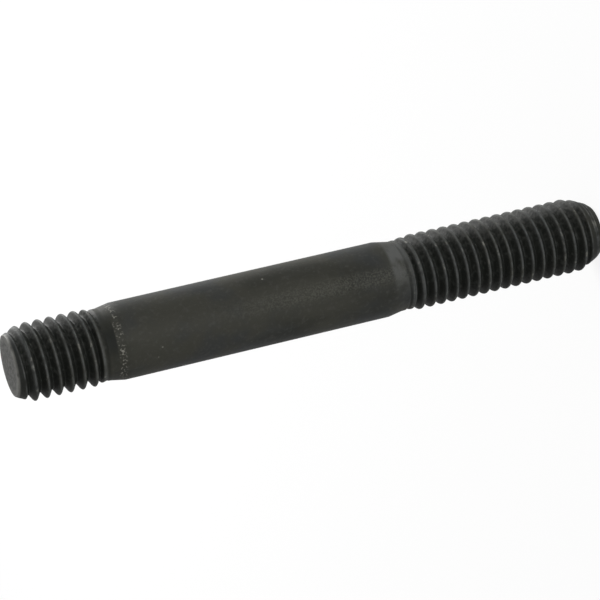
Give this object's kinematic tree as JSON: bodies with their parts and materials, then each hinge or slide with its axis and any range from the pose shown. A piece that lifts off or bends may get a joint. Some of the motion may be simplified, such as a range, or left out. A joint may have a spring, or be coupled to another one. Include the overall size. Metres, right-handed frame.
{
  "type": "double ended stud",
  "caption": "Headless steel rod with a short thread at one end, a long thread at the other and a plain full-size shank between, for bolting a cover to a tapped hole.",
  "frame": {"origin": "centre of the nut end's flat face, on the axis", "axes": "+Z along the axis from the nut end to the metal end"},
  "size_m": [0.008, 0.008, 0.065],
  "materials": {
    "steel": "black oxide, dull, worn lighter on the thread crests and the edges"
  },
  "bodies": {
    "root": {"stud": "steel"}
  },
  "joints": []
}
